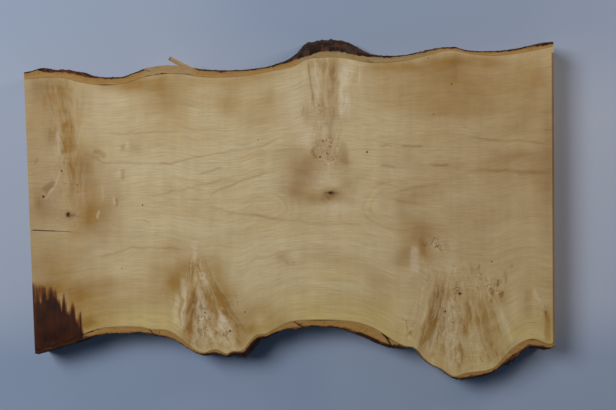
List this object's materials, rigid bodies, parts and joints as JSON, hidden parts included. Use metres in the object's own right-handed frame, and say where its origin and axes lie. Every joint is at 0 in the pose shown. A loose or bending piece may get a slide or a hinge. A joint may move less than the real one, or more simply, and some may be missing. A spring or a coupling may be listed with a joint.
{
  "type": "live-edge maple burl slab",
  "caption": "Flat-sawn slab of maple burl with two waney, bark-covered long edges and two sawn ends, planed on its upper face.",
  "frame": {"origin": "centre of the bounding box's base, on the sawn underside", "axes": "+X along the board, +Y across it towards the edge with the burl swelling, +Z out of the planed face"},
  "size_m": [0.4998, 0.3316, 0.04],
  "materials": {
    "wood": "planed, unfinished, with burl figure",
    "bark": "rough bark over tan inner bark"
  },
  "bodies": {
    "root": {"maple_wood": "wood", "bark_upper_edge": "bark", "bark_lower_edge": "bark", "bark_lower_corner": "bark"}
  },
  "joints": []
}
